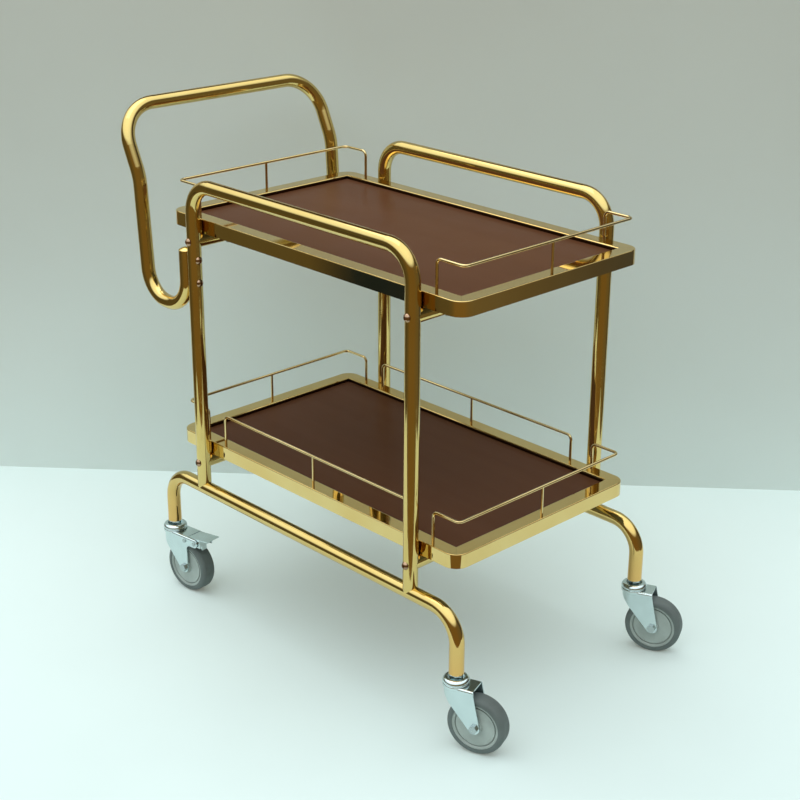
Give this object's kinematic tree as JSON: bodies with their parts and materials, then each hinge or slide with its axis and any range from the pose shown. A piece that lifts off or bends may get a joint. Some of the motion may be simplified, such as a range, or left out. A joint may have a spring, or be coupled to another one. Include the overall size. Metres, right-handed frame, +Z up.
{
  "type": "two-tier serving trolley",
  "caption": "Serving trolley with a polished gold tube frame, two framed dark brown trays, wire galleries, a looped push handle and swivel casters.",
  "frame": {"origin": "on the floor, under the middle of the two trays", "axes": "+X along the trays to the front, away from the push handle; +Y to the left; +Z up"},
  "size_m": [0.9552, 0.5226, 0.9145],
  "materials": {
    "polished_tube": "mirror polished",
    "tray_edging": "polished sheet",
    "gallery_wire": "polished wire",
    "tray_board": "dark brown laminate, semi-gloss",
    "screw_heads": "coppery plating",
    "plated_steel": "zinc plated",
    "caster_plating": "bright plated pressing",
    "wheel_centre": "matte moulding",
    "tyre_rubber": "grey rubber"
  },
  "bodies": {
    "trolley": {"base_tube_left": "polished_tube", "base_tube_right": "polished_tube", "caster_stem_front_left": "caster_plating", "caster_stem_front_right": "caster_plating", "caster_stem_rear_left": "caster_plating", "caster_stem_rear_right": "caster_plating", "cross_tube_plugs": "plated_steel", "cross_tube_screws": "screw_heads", "handle_end_caps": "polished_tube", "handle_inserts": "plated_steel", "handle_screws": "screw_heads", "leg_inserts": "plated_steel", "lower_cross_tube_front": "polished_tube", "lower_cross_tube_rear": "polished_tube", "lower_gallery_front": "gallery_wire", "lower_gallery_left": "gallery_wire", "lower_gallery_rear": "gallery_wire", "lower_gallery_right": "gallery_wire", "lower_tray_frame": "tray_edging", "lower_tray_panel": "tray_board", "push_handle": "polished_tube", "side_frame_left": "polished_tube", "side_frame_right": "polished_tube", "swivel_cup_front_left": "caster_plating", "swivel_cup_front_right": "caster_plating", "swivel_cup_rear_left": "caster_plating", "swivel_cup_rear_right": "caster_plating", "swivel_races": "plated_steel", "tray_screws": "plated_steel", "upper_cross_tube_front": "polished_tube", "upper_cross_tube_rear": "polished_tube", "upper_gallery_front": "gallery_wire", "upper_gallery_rear": "gallery_wire", "upper_tray_frame": "tray_edging", "upper_tray_panel": "tray_board"},
    "swivel_front_left": {"caster_fork_front_left": "caster_plating", "wheel_axle_front_left": "plated_steel"},
    "wheel_front_left": {"wheel_hub_front_left": "wheel_centre", "wheel_tyre_front_left": "tyre_rubber"},
    "swivel_front_right": {"caster_fork_front_right": "caster_plating", "wheel_axle_front_right": "plated_steel"},
    "wheel_front_right": {"wheel_hub_front_right": "wheel_centre", "wheel_tyre_front_right": "tyre_rubber"},
    "swivel_rear_left": {"caster_fork_rear_left": "caster_plating", "wheel_axle_rear_left": "plated_steel", "brake_pins_rear_left": "plated_steel"},
    "wheel_rear_left": {"wheel_hub_rear_left": "wheel_centre", "wheel_tyre_rear_left": "tyre_rubber"},
    "pedal_rear_left": {"brake_pedal_rear_left": "caster_plating"},
    "swivel_rear_right": {"caster_fork_rear_right": "caster_plating", "wheel_axle_rear_right": "plated_steel", "brake_pins_rear_right": "plated_steel"},
    "wheel_rear_right": {"wheel_hub_rear_right": "wheel_centre", "wheel_tyre_rear_right": "tyre_rubber"},
    "pedal_rear_right": {"brake_pedal_rear_right": "caster_plating"}
  },
  "joints": [
    {"name": "swivel_turn_front_left", "type": "hinge", "parent": "trolley", "child": "swivel_front_left", "pos_m": [0.377, 0.2255, 0.116], "axis": [0, 0, 1], "continuous": true},
    {"name": "wheel_spin_front_left", "type": "hinge", "parent": "swivel_front_left", "child": "wheel_front_left", "pos_m": [0.41325, 0.24241, 0.05], "axis": [-0.4226, 0.9063, 0], "continuous": true},
    {"name": "swivel_turn_front_right", "type": "hinge", "parent": "trolley", "child": "swivel_front_right", "pos_m": [0.377, -0.2255, 0.116], "axis": [0, 0, 1], "continuous": true},
    {"name": "wheel_spin_front_right", "type": "hinge", "parent": "swivel_front_right", "child": "wheel_front_right", "pos_m": [0.41459, -0.21182, 0.05], "axis": [-0.342, 0.9397, 0], "continuous": true},
    {"name": "swivel_turn_rear_left", "type": "hinge", "parent": "trolley", "child": "swivel_rear_left", "pos_m": [-0.371, 0.2255, 0.116], "axis": [0, 0, 1], "continuous": true},
    {"name": "wheel_spin_rear_left", "type": "hinge", "parent": "swivel_rear_left", "child": "wheel_rear_left", "pos_m": [-0.33187, 0.23382, 0.05], "axis": [-0.2079, 0.9781, 0], "continuous": true},
    {"name": "brake_press_rear_left", "type": "hinge", "parent": "swivel_rear_left", "child": "pedal_rear_left", "pos_m": [-0.30351, 0.23985, 0.108], "axis": [-0.2079, 0.9781, 0], "range_deg": [0, 18]},
    {"name": "swivel_turn_rear_right", "type": "hinge", "parent": "trolley", "child": "swivel_rear_right", "pos_m": [-0.371, -0.2255, 0.116], "axis": [0, 0, 1], "continuous": true},
    {"name": "wheel_spin_rear_right", "type": "hinge", "parent": "swivel_rear_right", "child": "wheel_rear_right", "pos_m": [-0.3313, -0.22062, 0.05], "axis": [-0.1219, 0.9925, 0], "continuous": true},
    {"name": "brake_press_rear_right", "type": "hinge", "parent": "swivel_rear_right", "child": "pedal_rear_right", "pos_m": [-0.30251, -0.21709, 0.108], "axis": [-0.1219, 0.9925, 0], "range_deg": [0, 18]}
  ]
}
